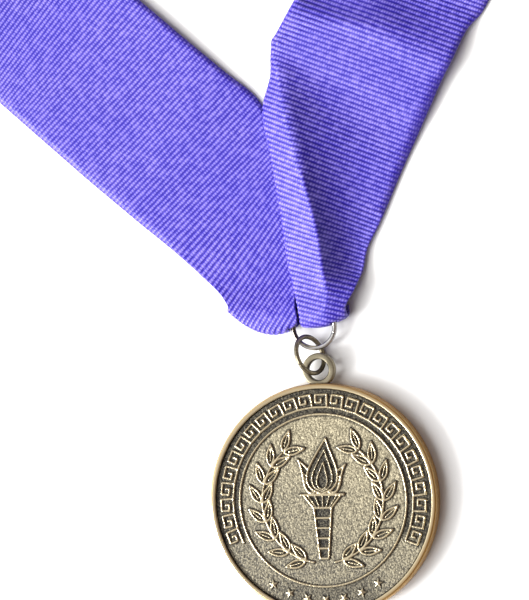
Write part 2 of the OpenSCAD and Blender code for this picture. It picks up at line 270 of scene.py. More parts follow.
def make_bright_nickel():
    material, tree, metal = new_material("bright_nickel")
    grain = use_group(tree, metal_grain, {"Grain Size": 0.0002, "Mottle Size": 0.002})
    colour = blend_colour(tree, grain.outputs["Mottle"], rgb(0.95, 0.94, 0.92), rgb(0.8, 0.79, 0.77))
    # Painted dark reflection: the left side of the ring is painted dark
    colour = blend_colour(tree, painted(tree, "painted_dark_reflection"), colour, rgb(0.15, 0.13, 0.12))
    # Painted dark reflection on the sides of the nickel ring's wire
    colour = painted_side_reflection(tree, colour, 0.12, 0.6, rgb(0.08, 0.066, 0.058))
    rough = calc(tree, "MULTIPLY_ADD", grain.outputs["Grain"], 0.08, 0.12)
    finish_metal(tree, metal, colour, rough, grain.outputs["Height"], 0.08, 0.00002)
    return material


BEAD_PITCH = 0.58
BEAD_DEPTH = 0.85           # how much darker a rib is painted between its beads, as shade
GROOVE = 0.36               # share of a rib's height that is painted dark, as shade in the groove
BEAD_SHADE = 0.4            # how far the beads differ from one another
FIBRE_SHADE = 0.6
FIBRE_SCALE = 1500.0
CLOUD_SCALE = 70.0
STREAK_SHADE = 0.5          # how far the ribs differ, along and across
STREAK_ACROSS = 0.3         # turns of the streaks' noise for each millimetre of a rib
STREAK_ALONG = 0.8          # the same for each rib
SELVEDGE_FULL = 0.24        # the selvedge's colour is full up to this distance from the edge
SELVEDGE = 0.8              # and gone at this one
SELVEDGE_SHADE = 0.35
FIBRE_BUMP = 0.3            # the fibres' share of the bump


def make_violet_grosgrain():
    """Ribs run across the ribbon; on each of them the warp shows as a row of small beads. The grooves, and
    the dips between the beads, are painted dark as shade.
    """
    material, tree, cloth = new_material("violet_grosgrain")
    weave = put(tree, "ShaderNodeUVMap", uv_map="weave").outputs["UV"]
    split = put(tree, "ShaderNodeSeparateXYZ", {"Vector": weave})
    across = split.outputs["X"]
    along = split.outputs["Y"]
    row = calc(tree, "FLOOR", along)
    shifted = calc(
        tree, "ADD", calc(tree, "DIVIDE", across, BEAD_PITCH), calc(tree, "MULTIPLY", row, 0.5)
    )
    rib, bead = (
        calc(tree, "ABSOLUTE", calc(tree, "SINE", calc(tree, "MULTIPLY", at, math.pi)))
        for at in (along, shifted)
    )
    bead = calc(tree, "MULTIPLY_ADD", bead, BEAD_DEPTH, 1 - BEAD_DEPTH)
    rib_height_and_shade = calc(tree, "MULTIPLY", soft_step(tree, rib, GROOVE, 1.0), bead)

    place = object_place(tree)
    fibre = noise(tree, place, FIBRE_SCALE, 3.0)
    cloudy = noise(tree, place, CLOUD_SCALE, 2.0)
    streak_place = put(tree, "ShaderNodeCombineXYZ", {
        "X": calc(tree, "MULTIPLY", across, STREAK_ACROSS), "Y": calc(tree, "MULTIPLY", row, STREAK_ALONG),
    }).outputs["Vector"]
    streak = noise(tree, streak_place, 1.0, 3.0)
    cell = put(tree, "ShaderNodeCombineXYZ", {"X": calc(tree, "FLOOR", shifted), "Y": row})
    chance = put(tree, "ShaderNodeTexWhiteNoise", {"Vector": cell.outputs["Vector"]}).outputs["Value"]
    specks = calc(
        tree, "ADD", around_zero(tree, chance, BEAD_SHADE), around_zero(tree, fibre, FIBRE_SHADE)
    )
    uneven = calc(tree, "ADD", specks, around_zero(tree, streak, STREAK_SHADE))

    # Painted shade: the grooves and the dips between the beads are painted dark; specks and streaks vary
    # the tone at random
    tone = calc(tree, "ADD", rib_height_and_shade, uneven, clamp=True)
    colour = blend_colour(tree, tone, rgb(0.014, 0.005, 0.28), rgb(0.20, 0.158, 0.64))
    pale = blend_colour(tree, 1.0, colour, rgb(1.14, 1.15, 1.0), how="MULTIPLY")
    colour = blend_colour(tree, soft_step(tree, cloudy, 0.35, 0.7), colour, pale)
    edge = soft_step(tree, painted(tree, "from_edge"), SELVEDGE, SELVEDGE_FULL)
    edge = calc(tree, "MULTIPLY", edge, SELVEDGE_SHADE)
    colour = blend_colour(tree, edge, colour, rgb(0.08, 0.055, 0.5))
    ribbed = calc(tree, "MULTIPLY", rib_height_and_shade, 1 - FIBRE_BUMP)
    height = calc(tree, "ADD", ribbed, calc(tree, "MULTIPLY", fibre, FIBRE_BUMP))
    for name, value in (
        ("Roughness", 0.46), ("Specular IOR Level", 0.55), ("Sheen Weight", 0.08),
        ("Sheen Roughness", 0.4), ("Sheen Tint", rgb(0.75, 0.7, 1.0)),
    ):
        cloth.inputs[name].default_value = value
    tree.links.new(colour, cloth.inputs["Base Color"])
    add_bump(tree, cloth, height, 0.6, 0.00012)
    return material


PAPER_SCALE = 900.0
PAPER_SHADE = 0.03


def make_paper():
    material, tree, paper = new_material("pale_floor")
    tooth = calc(tree, "MULTIPLY", noise(tree, object_place(tree), PAPER_SCALE, 2.0), PAPER_SHADE)
    colour = blend_colour(tree, tooth, rgb(0.76, 0.76, 0.755), rgb(0.7, 0.7, 0.7))
    paper.inputs["Roughness"].default_value = 0.7
    tree.links.new(colour, paper.inputs["Base Color"])
    return material


# Meshes
def make_object(name, points, faces, material, marks=None):
    """An object from points in millimetres; marks are painted values, one for each point."""
    mesh = bpy.data.meshes.new(name)
    mesh.from_pydata((np.asarray(points) * MM).tolist(), [], faces)
    mesh.polygons.foreach_set("use_smooth", np.ones(len(mesh.polygons), dtype=bool))
    for label, values in (marks or {}).items():
        layer = mesh.attributes.new(label, "FLOAT", "POINT")
        layer.data.foreach_set("value", np.asarray(values, dtype=np.float32))
    mesh.materials.append(material)
    mesh.update()
    piece = bpy.data.objects.new(name, mesh)
    bpy.context.scene.collection.objects.link(piece)
    return piece


def ease(t):
    t = np.clip(t, 0.0, 1.0)
    return t * t * (3 - 2 * t)


def fade(value, start, end):
    """0 where the value is at start or before it, 1 at end or past it, and smooth between them."""
    return ease((value - start) / (end - start))


# Medal: the disc, the loop and the ring line are the part's; raised lines are rounded, with a wider foot
MEDAL_R = 25.0
MEDAL_T = 4.0
RIM_W = 1.15
FACE_Z = 3.35
RELIEF = 0.4
RING_LINE_R = 18.4
EDGE_ROUND = 0.5
LIP_ROUND = 0.26            # rounding of the rim's inner edge
COVE = 0.1                  # hollow between the face and the rim
LINE_HALF = 0.27            # half the width of a raised line at its foot
FINE_HALF = 0.17            # the same for veins and flutes
LOOP_Y = MEDAL_R + 2.9
LOOP_Z = 1.5
LOOP_T = 1.8
LOOP_OUTER = 3.6
LOOP_HOLE = 2.25
LOOP_ROUND = 0.35
FACE_R = MEDAL_R - RIM_W
FACE_CELL = 0.146           # spacing of the face's grid
FACE_GAP = 0.6              # least distance of the grid from the rim, in cells
TURN_STEPS = 360
BACK_RINGS = (20.0, 12.0, 4.0)
STIPPLE_DEEP = 0.045
STIPPLE_SEED = 7
HIDDEN_STEP = 0.1           # length of the pieces of a line that is partly hidden


class Artwork:
    """Raised lines as short straight pieces, filled shapes, and the closed shapes with a dark ground."""

    def __init__(self):
        self.lines = []
        self.filled = []
        self.dark = []

    def line(self, points, half=LINE_HALF, closed=False, hidden_by=None):
        points = np.asarray(points, dtype=float)
        if closed:
            points = np.vstack([points, points[:1]])
        for a, b in zip(points[:-1], points[1:]):
            cuts = 1 if hidden_by is None else max(1, int(np.linalg.norm(b - a) / HIDDEN_STEP))
            for k in range(cuts):
                start = a + (b - a) * k / cuts
                end = a + (b - a) * (k + 1) / cuts
                middle = (start + end) / 2
                if hidden_by is not None and inside(hidden_by, middle[:1], middle[1:])[0]:
                    continue
                self.lines.append((start, end, half))


def inside(outline, x, y):
    outline = np.asarray(outline)
    hit = np.zeros(np.shape(x), dtype=bool)
    last = outline[-1]
    for point in outline:
        crosses = (point[1] > y) != (last[1] > y)
        rise = last[1] - point[1]
        at = point[0] + (y - point[1]) * (last[0] - point[0]) / (rise if rise else 1e-9)
        hit ^= crosses & (x < at)
        last = point
    return hit


def turned(points, degrees):
    a = math.radians(degrees)
    spin = np.array([[math.cos(a), math.sin(a)], [-math.sin(a), math.cos(a)]])
    return np.asarray(points) @ spin


def on_circle(radius, degrees):
    a = np.radians(degrees)
    return np.stack([radius * np.cos(a), radius * np.sin(a)], axis=-1)


def both_sides(one, other):
    """A closed outline from two lines that share their ends."""
    return np.vstack([one, other[::-1][1:-1]])


# Laurel branches
LEAVES = 8
WREATH_R = 13.4
WREATH_FROM = -80.0
WREATH_TO = 50.0
FIRST_LEAF = 6.0
LEAF_L = 5.0
LEAF_W = 2.1
LEAF_SPREAD = 30.0
LEAF_STALK = 0.3
LEAF_FULL = 0.8
VEIN_FROM = 0.2
VEIN_TO = 0.72


def leaf_outline(steps=10):
    t = np.linspace(0, 1, steps + 1)
    half = LEAF_W / 2 * np.sin(np.pi * t ** LEAF_FULL)
    return both_sides(np.stack([LEAF_L * t, half], axis=1), np.stack([LEAF_L * t, -half], axis=1))


def draw_branches(art):
    flip = np.array([-1.0, 1.0])
    stem = on_circle(WREATH_R, np.linspace(WREATH_FROM, WREATH_TO, 40))
    shrink = np.array([(LEAF_L - 2 * LINE_HALF) / LEAF_L, (LEAF_W - 2 * LINE_HALF) / LEAF_W])
    for mirror in (np.ones(2), flip):
        art.line(stem * mirror)
        for angle in np.linspace(WREATH_FROM + FIRST_LEAF, WREATH_TO, LEAVES):
            foot = on_circle(WREATH_R, angle)
            for side in (-1, 1):
                lean = angle + 90 - side * LEAF_SPREAD
                grow = turned([[LEAF_STALK + LINE_HALF, 0.0]], lean)[0]
                outline = (turned(leaf_outline() * shrink, lean) + foot + grow) * mirror
                vein = turned([[VEIN_FROM * LEAF_L, 0.0], [VEIN_TO * LEAF_L, 0.0]], lean)
                art.line(outline, closed=True)
                art.line((vein + foot + grow) * mirror, half=FINE_HALF)
                art.dark.append(outline)


# Torch
CUP_TOP = 1.2
CUP_H = 2.8
CUP_W = 8.4
LIP_OUT = 0.5
LIP_HALF = 0.35
FLUTES = (-0.5, -0.25, 0.0, 0.25, 0.5)
FLUTE_FOOT = 1.4            # how far the flutes spread at the cup's foot and lip, as shares of each
FLUTE_TOP = 0.8
HANDLE_FOOT = -12.4
HANDLE_W = (1.9, 3.9)
BANDS = 4
FLAME_TOP = 13.2
FLAME_W = 7.4
FLAME_LIFT = 0.2
FLAME_FULL = 0.62
FLAME_SLIM = 0.25
# Nested tongues: lift, share of the height, share of the width, lean
NESTED = [(0.0, 1.0, 1.0, 1.1), (0.5, 0.76, 0.66, 0.8), (0.9, 0.5, 0.34, 0.45)]
# Tongues beside them: side, foot out from the middle, share of the height, width, lean
BESIDE = [(-1, 2.2, 0.62, 3.2, 2.9), (1, 2.2, 0.52, 3.2, 3.1)]
INNER_SHARE = 0.6
INNER_LIFT = 0.3


def tongue(foot, height, width, lean, steps=14):
    t = np.linspace(0, 1, steps + 1)
    half = width / 2 * np.sin(np.pi * t ** FLAME_FULL) * (1 - FLAME_SLIM * t)
    middle = foot[0] + lean * t * t
    level = foot[1] + height * t
    return both_sides(np.stack([middle + half, level], axis=1), np.stack([middle - half, level], axis=1))


def draw_torch(art):
    top = HANDLE_W[1] / 2
    foot = HANDLE_W[0] / 2
    cup_foot = CUP_TOP - CUP_H
    handle = [(-foot, HANDLE_FOOT), (foot, HANDLE_FOOT), (top, cup_foot), (-top, cup_foot)]
    cup = [(-top, cup_foot), (top, cup_foot), (CUP_W / 2, CUP_TOP), (-CUP_W / 2, CUP_TOP)]
    art.line(handle, closed=True)
    art.line(cup, closed=True)
    art.line([(-CUP_W / 2 - LIP_OUT, CUP_TOP), (CUP_W / 2 + LIP_OUT, CUP_TOP)], half=LIP_HALF)
    art.dark += [handle, cup]
    for k in range(1, BANDS + 1):
        share = k / (BANDS + 1)
        half = foot + (top - foot) * share
        y = HANDLE_FOOT + (cup_foot - HANDLE_FOOT) * share
        art.line([(-half, y), (half, y)])
    for share in FLUTES:
        ends = [(FLUTE_FOOT * top * share, cup_foot), (FLUTE_TOP * CUP_W * share, CUP_TOP)]
        art.line(ends, half=FINE_HALF)
    base = CUP_TOP + FLAME_LIFT
    tall = FLAME_TOP - base
    centre = tongue((0.0, base), tall, FLAME_W, NESTED[0][3])
    art.dark.append(centre)
    for lift, high, wide, lean in NESTED:
        half = FINE_HALF if lift else LINE_HALF
        art.line(tongue((0.0, base + lift), high * tall, wide * FLAME_W, lean), half=half, closed=True)
    for side, out, high, wide, lean in BESIDE:
        outer = tongue((side * out, base), high * tall, wide, side * lean)
        inner = tongue(
            (side * (out + INNER_LIFT), base + INNER_LIFT), INNER_SHARE * high * tall,
            INNER_SHARE * wide, INNER_SHARE * side * lean,
        )
        art.line(outer, closed=True, hidden_by=centre)
        art.line(inner, half=FINE_HALF, closed=True, hidden_by=centre)
        art.dark.append(outer)


# Key border and stars
KEYS = 25
STARS = 7
LINE_W = 0.4
BORDER_R = (RING_LINE_R + LINE_W / 2 + FACE_R) / 2
BORDER_H = 2.7
KEY_FROM = -26.0
KEY_SPAN = 232.0
STAR_R = 1.25
STAR_WAIST = 0.42           # radius between the points, as a share of STAR_R
STAR_SPAN = 66.0
# One unit of the key, in shares of its width and half height
KEY_PATH = [(1.0, -1.0), (0.0, -1.0), (0.0, 1.0), (0.72, 1.0), (0.72, -0.25), (0.36, -0.25), (0.36, 0.3)]


def draw_border(art):
    unit = KEY_SPAN / KEYS
    width = 2 * BORDER_R * math.sin(math.radians(unit / 2))
    path = np.array(KEY_PATH) * (width, BORDER_H / 2)
    for k in range(KEYS):
        placed = path * (-1, 1) + (width / 2, BORDER_R)
        art.line(turned(placed, KEY_FROM + (k + 0.5) * unit - 90))
    corners = np.arange(10)
    reach = np.where(corners % 2 == 0, STAR_R, STAR_WAIST * STAR_R)
    spokes = np.radians(36 * corners)
    star = np.stack([reach * np.sin(spokes), reach * np.cos(spokes)], axis=1)
    for k in range(STARS):
        art.filled.append(turned(star + (0, BORDER_R), 180 + STAR_SPAN * (k / (STARS - 1) - 0.5)))


def draw_ring_line(art):
    art.line(on_circle(RING_LINE_R, np.arange(0, 361, 2.0)))


REACH = 1.6                 # how far from a line a point of the face looks for it


def relief_over(art, x, y):
    """What each point of the face has near it.

    That is how far outside the raised work it lies, the nearest point of a line, half the width of that
    line, and whether it is on a star.
    """
    out = np.full(x.shape, REACH)
    near_x, near_y, half_at = (np.zeros(x.shape) for _ in range(3))
    first = np.array([x[0, 0], y[0, 0]])
    edges = list(art.lines)
    for shape in art.filled:
        edges += [(a, b, 0.0) for a, b in zip(shape, np.roll(shape, -1, axis=0))]
    for a, b, half in edges:
        low = (np.minimum(a, b) - REACH - first) / FACE_CELL
        high = (np.maximum(a, b) + REACH - first) / FACE_CELL
        columns, lines = (slice(max(int(low[k]), 0), int(high[k]) + 2) for k in (0, 1))
        window = (lines, columns)
        px, py = x[window], y[window]
        run = b - a
        share = ((px - a[0]) * run[0] + (py - a[1]) * run[1]) / max(run @ run, 1e-9)
        share = np.clip(share, 0, 1)
        qx = a[0] + share * run[0]
        qy = a[1] + share * run[1]
        far = np.hypot(px - qx, py - qy) - half
        closer = far < out[window]
        for field, value in ((out, far), (near_x, qx), (near_y, qy), (half_at, half)):
            field[window] = np.where(closer, value, field[window])
    star = np.zeros(x.shape, dtype=bool)
    for shape in art.filled:
        star |= inside(shape, x, y)
    return out, near_x, near_y, half_at, star


# Patina: the degrees that the dark upper band spans and fades over, and how dark each ground is
DARK_FROM = -32.0
DARK_TO = 212.0
DARK_FADE = 12.0
STARS_DARK = 46.0           # half the span of the dark ground round the stars
BAND_PATINA = 0.95
STARS_PATINA = 0.62
LEAST_PATINA = 0.12
SHADE_PATINA = 0.95         # inside the leaves, the torch and the flame
FOOT_PATINA = 0.34          # how far the dark runs out from the foot of a raised line
CORNER_WIDTH = 0.55         # the dark corner between the face and the rim, and where it is full
CORNER_CLEAR = 0.05
# How much darker the painted grey reflection makes the ground
GREY_REFLECTION_DARK = 0.5
# Painted reflection: the ground turns darker and bluer towards the lower left: where from, its way over
# the face, and how slowly
GREY_FROM = 0.46
GREY_WAY = (0.45, 0.9)
GREY_RUN = 38.0
# Section of a raised line, and of a star
LINE_FULL = 3.0
LINE_ROUND = 0.7
STAR_EDGE = 0.35
STAR_PEAK = 0.42
STIPPLE_BLUR = 0.3
STIPPLE_NORM = 1.09
STIPPLE_CLEAR = 2.5         # how soon the stipple stops where the face is raised
STIPPLE_CALM = 0.4          # it fades out within this distance of the rim
STIPPLE_SPREAD = 0.62
# Painted values of the face: the band's soft inner edge, and how warm the ground and raised work are
BAND_EDGE = 0.3
WARM_GROUND = 0.04
WARM_RAISED = 0.14


def ring_faces(lower, upper):
    """Faces between two closed rings of points with the same count, given by their numbers."""
    following = np.roll(np.arange(len(lower)), -1)
    return [
        (int(lower[k]), int(lower[n]), int(upper[n]), int(upper[k]))
        for k, n in enumerate(following)
    ]


def make_face(art):
    """The sunk face: a fine grid, raised where the artwork is, that ends just inside the rim."""
    side = int(FACE_R / FACE_CELL) + 2
    steps = np.arange(-side, side + 1) * FACE_CELL
    x, y = np.meshgrid(steps, steps)
    out, near_x, near_y, half_at, star = relief_over(art, x, y)
    radius = np.hypot(x, y)
    away_x, away_y = x - near_x, y - near_y
    away = np.hypot(away_x, away_y)
    touched = out < REACH
    to_crest = touched & (away < 0.5 * FACE_CELL)
    to_foot = touched & ~to_crest & (np.abs(out) < 0.5 * FACE_CELL) & (half_at > 0)
    pulled = to_crest | to_foot
    pull = np.where(to_crest, 0.0, half_at / np.maximum(away, 1e-6))
    placed_x = np.where(pulled, near_x + away_x * pull, x)
    placed_y = np.where(pulled, near_y + away_y * pull, y)
    away = np.where(to_crest, 0.0, np.where(to_foot, half_at, away))
    share = np.clip(away / np.maximum(half_at, 1e-6), 0, 1)
    raised = np.where(touched & (half_at > 0), (1 - share ** LINE_FULL) ** LINE_ROUND, 0.0)
    raised = np.where(star, np.clip(STAR_EDGE + (1 - STAR_EDGE) * away / STAR_PEAK, 0, 1), raised)
    grit = np.random.default_rng(STIPPLE_SEED).standard_normal(x.shape)
    beside = np.roll(grit, 1, axis=0) + np.roll(grit, 1, axis=1)
    grit = (grit + STIPPLE_BLUR * beside) / STIPPLE_NORM
    plain = 1 - np.clip(raised * STIPPLE_CLEAR, 0, 1)
    calm = ease((FACE_R - radius) / STIPPLE_CALM)
    z = FACE_Z + RELIEF * raised + STIPPLE_DEEP * np.clip(grit, -2, 2) / 2 * plain * calm
    stipple = np.clip(0.5 + STIPPLE_SPREAD * grit, 0, 1)

    angle = np.degrees(np.arctan2(y, x))
    angle = np.where(angle < -90, angle + 360, angle)
    in_band = fade(radius, RING_LINE_R, RING_LINE_R + BAND_EDGE)
    upper = fade(angle, DARK_FROM, DARK_FROM + DARK_FADE) * fade(angle, DARK_TO, DARK_TO - DARK_FADE)
    patina_and_shade = np.exp(-(np.maximum(out, 0) / FOOT_PATINA) ** 2)
    from_foot = np.minimum(np.abs(angle - 270), np.abs(angle + 90))
    below = fade(from_foot, STARS_DARK, STARS_DARK - 2 * DARK_FADE)
    band = np.maximum(BAND_PATINA * upper, STARS_PATINA * below + LEAST_PATINA)
    corner = fade(radius, FACE_R - CORNER_WIDTH, FACE_R - CORNER_CLEAR)
    # Painted reflection: darker and bluer ground towards the lower left
    painted_grey_reflection = ease(GREY_FROM - (GREY_WAY[0] * x + GREY_WAY[1] * y) / GREY_RUN)
    grounds = [in_band * band, corner, GREY_REFLECTION_DARK * painted_grey_reflection]
    grounds += [SHADE_PATINA * inside(outline, x, y) for outline in art.dark]
    for ground in grounds:
        patina_and_shade = np.maximum(patina_and_shade, ground)

    kept = radius < FACE_R - FACE_GAP * FACE_CELL
    number = np.full(x.shape, -1)
    near, far = slice(None, -1), slice(1, None)
    corners = [(near, near), (near, far), (far, far), (far, near)]
    cells = np.logical_and.reduce([kept[corner] for corner in corners])
    used = np.zeros(x.shape, dtype=bool)
    for corner in corners:
        used[corner] |= cells
    number[used] = np.arange(used.sum())
    faces = np.stack([number[corner][cells] for corner in corners], axis=1)
    points = np.stack([placed_x[used], placed_y[used], z[used]], axis=1)
    marks = {
        "raised": raised[used], "patina_and_shade": patina_and_shade[used], "stipple": stipple[used],
        "painted_grey_reflection": painted_grey_reflection[used], "warm_tone_and_reflection": WARM_GROUND + WARM_RAISED * raised[used],
    }
    return points, faces.tolist(), marks


def open_loop(faces):
    """The outer edge of a face list, as point numbers in order."""
    edges = set()
    for face in faces:
        for a, b in zip(face, face[1:] + face[:1]):
            if (b, a) in edges:
                edges.remove((b, a))
            else:
                edges.add((a, b))
    following = dict(edges)
    first = next(iter(sorted(following)))
    loop = [first]
    while following[loop[-1]] != first:
        loop.append(following[loop[-1]])
    return loop


def rim_profile():
    """Radius and height of the rim, from the face's edge over the top and down to the back."""
    top = MEDAL_T
    lip = np.radians(np.linspace(180, 90, 5))
    edge = np.radians(np.linspace(90, 0, 9))
    points = [(FACE_R - COVE, FACE_Z), (FACE_R - 0.3 * COVE, FACE_Z + 0.3 * COVE), (FACE_R, FACE_Z + COVE)]
    points += [
        (FACE_R + LIP_ROUND * (1 + math.cos(a)), top - LIP_ROUND * (1 - math.sin(a))) for a in lip
    ]
    outer = MEDAL_R - EDGE_ROUND
    rounded = [(outer + EDGE_ROUND * math.cos(a), EDGE_ROUND * (1 - math.sin(a))) for a in edge]
    return points + [(r, top - z) for r, z in rounded] + rounded[::-1]


def zip_rings(inner, outer, points):
    """Triangles between two rings of different counts round the same centre."""
    def bearing(k):
        return math.atan2(points[k][1], points[k][0]) % (2 * math.pi)

    rings = []
    for ring in (inner, outer):
        start = min(range(len(ring)), key=lambda k: bearing(ring[k]))
        ring = ring[start:] + ring[:start + 1]
        rings.append((ring, [bearing(k) for k in ring[:-1]] + [bearing(ring[0]) + 2 * math.pi]))
    (a_ring, a_at), (b_ring, b_at) = rings
    a_last, b_last = len(a_ring) - 1, len(b_ring) - 1
    faces = []
    a = b = 0
    while a < a_last or b < b_last:
        if b == b_last or (a < a_last and a_at[a + 1] <= b_at[b + 1]):
            faces.append((a_ring[a], b_ring[b], a_ring[a + 1]))
            a += 1
        else:
            faces.append((a_ring[a], b_ring[b], b_ring[b + 1]))
            b += 1
    return faces


def add_cast_loop(points, faces):
    """The loop at the top: a flat-sided ring with well rounded edges, grown out of the rim."""
    corner = np.radians(np.linspace(0, 90, 5))
    mid_r = (LOOP_OUTER + LOOP_HOLE) / 2
    wide = (LOOP_OUTER - LOOP_HOLE) / 2 - LOOP_ROUND
    tall = LOOP_T / 2 - LOOP_ROUND
    section = []
    for k, (sx, sz) in enumerate(((1, 1), (-1, 1), (-1, -1), (1, -1))):
        for a in corner:
            turn = a + k * math.pi / 2
            section.append((
                mid_r + sx * wide + LOOP_ROUND * math.cos(turn),
                LOOP_Z + LOOP_T / 2 + sz * tall + LOOP_ROUND * math.sin(turn),
            ))
    around = 72
    first = len(points)
    for k in range(around):
        a = 2 * math.pi * k / around
        points += [(r * math.sin(a), LOOP_Y + r * math.cos(a), z) for r, z in section]
    count = len(section)
    for k in range(around):
        here = first + k * count
        ahead = first + (k + 1) % around * count
        for j in range(count):
            n = (j + 1) % count
            faces.append((here + j, here + n, ahead + n, ahead + j))


# Rim and loop: where a painted value begins and where it is full
SIDE_FADE = (0.1, 1.3)      # down from the top
FOOT_FADE = (0.35, 0.05)    # up from the face
OUTER_FADE = (0.8, 0.2)     # in from the outer edge
EDGE_FADE = (0.32, 0.02)
HOLE_SHADE_FADE = (0.22, 0.02)    # painted shade round the loop's hole: out from the edge of the hole
RIGHT_FADE = 22.0           # it begins this far left of the middle and is full as far right of it


def paint_rim(points, rim_count):
    """Painted values of the rim, the side and the back, and then those of the cast loop."""
    x, y, z = points.T
    on_loop = np.arange(len(points)) >= rim_count
    radius = np.hypot(x, y)
    right = fade(x, -RIGHT_FADE, RIGHT_FADE)
    low = fade(z, MEDAL_T - SIDE_FADE[0], MEDAL_T - SIDE_FADE[1])
    foot = fade(z, FACE_Z + FOOT_FADE[0], FACE_Z + FOOT_FADE[1]) * (radius < FACE_R + FOOT_FADE[1])
    outer = fade(radius, MEDAL_R - OUTER_FADE[0], MEDAL_R - OUTER_FADE[1])
    edge = fade(radius, MEDAL_R - EDGE_FADE[0], MEDAL_R - EDGE_FADE[1]) * (1 - low)
    # Painted shade round the loop's hole
    painted_hole_shade = fade(np.hypot(x, y - LOOP_Y), LOOP_HOLE + HOLE_SHADE_FADE[0], LOOP_HOLE + HOLE_SHADE_FADE[1])
    # Painted shade and reflection: on the right the side wall is painted darker, less rubbed and a deeper
    # orange. The outer edge is warmer, more so on the right, and the top is darker towards its outer edge.
    rim = {
        "raised": 1 - 0.9 * foot - 0.45 * low * right - 0.7 * edge,
        "patina_and_shade": np.maximum(foot, 0.5 * low * right + 0.6 * edge),
        "stipple": 0.4,
        "painted_grey_reflection": 0.2,
        "warm_tone_and_reflection": np.clip(0.24 + (0.3 + 0.4 * right) * outer + 0.2 * low, 0, 1),
    }
    # Painted shade: the loop is painted darker and less rubbed round its hole
    loop = {
        "raised": 0.31 - 0.2 * painted_hole_shade, "patina_and_shade": 0.42 + 0.5 * painted_hole_shade, "stipple": 0.4, "painted_grey_reflection": 0.2, "warm_tone_and_reflection": 0.1,
    }
    return {name: np.where(on_loop, loop[name], rim[name]) for name in rim}


def make_medal(material):
    art = Artwork()
    draw_branches(art)
    draw_torch(art)
    draw_border(art)
    draw_ring_line(art)
    face_points, faces, face_marks = make_face(art)
    points = face_points.tolist()
    turns = np.radians(np.arange(TURN_STEPS) * 360 / TURN_STEPS)
    rings = []
    for r, z in rim_profile() + [(r, 0.0) for r in BACK_RINGS]:
        rings.append(list(range(len(points), len(points) + TURN_STEPS)))
        points += [(r * math.cos(a), r * math.sin(a), z) for a in turns]
    faces += zip_rings(open_loop(faces), rings[0], points)
    for lower, upper in zip(rings[:-1], rings[1:]):
        faces += ring_faces(lower, upper)
    faces.append(tuple(rings[-1]))
    rim_count = len(points) - len(face_points)
    add_cast_loop(points, faces)
    rim_marks = paint_rim(np.array(points[len(face_points):]), rim_count)
    marks = {name: np.concatenate([face_marks[name], rim_marks[name]]) for name in face_marks}
    return make_object("cast_medal", points, faces, material, marks)


# Wire rings: centre, lean, mean radius and wire, as in the part's source
JUMP_AT = (-1.42, 31.11, 4.15)
JUMP_LEAN = (0.0, 62.9, 16.6)
JUMP_R = 4.07
JUMP_WIRE = 1.0
HOLD_AT = (-0.88, 37.16, 2.23)
HOLD_LEAN = (0.0, 5.0, 260.5)
HOLD_R = 4.59
HOLD_WIRE = 1.04
# Where a wire's two ends meet: their gap and bevel, and the degrees round each ring at which they do
SEAM_GAP = 0.05
SEAM_BEVEL = 0.06
JUMP_SEAM = 200.0
HOLD_SEAM = 80.0
WIRE_AROUND = 168
WIRE_GIRTH = 28
DARK_REFLECTION_FROM = 0.1             # how far right of a ring's centre its side with the painted dark reflection starts, in radiuses


def make_wire_ring(name, centre, lean, radius, wire, seam_at, material):
    """A ring bent from round wire; its two cut ends meet in a fine seam."""
    gap = math.degrees(SEAM_GAP / radius)
    bevel = math.degrees(SEAM_BEVEL / radius)
    start, end = gap / 2, 360 - gap / 2
    angles = np.array([start, *np.linspace(start + bevel, end - bevel, WIRE_AROUND), end]) + seam_at
    half = np.full(len(angles), wire / 2)
    half[[0, -1]] -= SEAM_BEVEL
    turns = np.radians(angles)[:, None]
    half = half[:, None]
    girths = np.radians(np.arange(WIRE_GIRTH) * 360 / WIRE_GIRTH)[None, :]
    reach = radius + half * np.cos(girths)
    flat = np.stack([reach * np.cos(turns), reach * np.sin(turns), half * np.sin(girths)], axis=-1)
    spin = np.array(Euler([math.radians(a) for a in lean], "XYZ").to_matrix())
    points = flat.reshape(-1, 3) @ spin.T + np.array(centre)
    rings = [np.arange(k * WIRE_GIRTH, (k + 1) * WIRE_GIRTH) for k in range(len(angles))]
    faces = []
    for lower, upper in zip(rings[:-1], rings[1:]):
        faces += ring_faces(upper, lower)
    faces += [rings[0].tolist(), rings[-1][::-1].tolist()]
    # Painted dark reflection: a share that darkens the left side of the ring
    painted_dark_reflection = ease(DARK_REFLECTION_FROM - (points[:, 0] - centre[0]) / radius)
    return make_object(name, points, faces, material, {"painted_dark_reflection": painted_dark_reflection})


# Ribbon: laid out as in the part's source, in the thinner cloth of the real ribbon
RIBBON_W = 38.0
CLOTH = 0.6
RUN = 134.7
CROSSING = np.array([-8.2, 57.7])
LEFT_HEADING = 137.8
RIGHT_HEADING = 61.13
TWIST_START = 74.0          # distance from the crossing where a strand starts to turn on edge
TWIST_RUN = 112.0
COLUMNS = 15
RIDGE_COL = 6               # the column on the ridge of the front strand
SIDE_COL = 9                # where its left side starts to roll under
CURL_COL = 14               # where the roll ends and the hem starts
SIDE_ROLL = 0.65            # radius of that roll
LEAST_CURL = 0.3            # least share of the roll and the hem that lies before that column
FOLD_STEPS = 6
BACK_Z = CLOTH / 2
LOOP_TURN = 360 - (180 - (LEFT_HEADING - RIGHT_HEADING))
LOOP_RADIUS = RUN * math.tan(math.radians((LEFT_HEADING - RIGHT_HEADING) / 2))

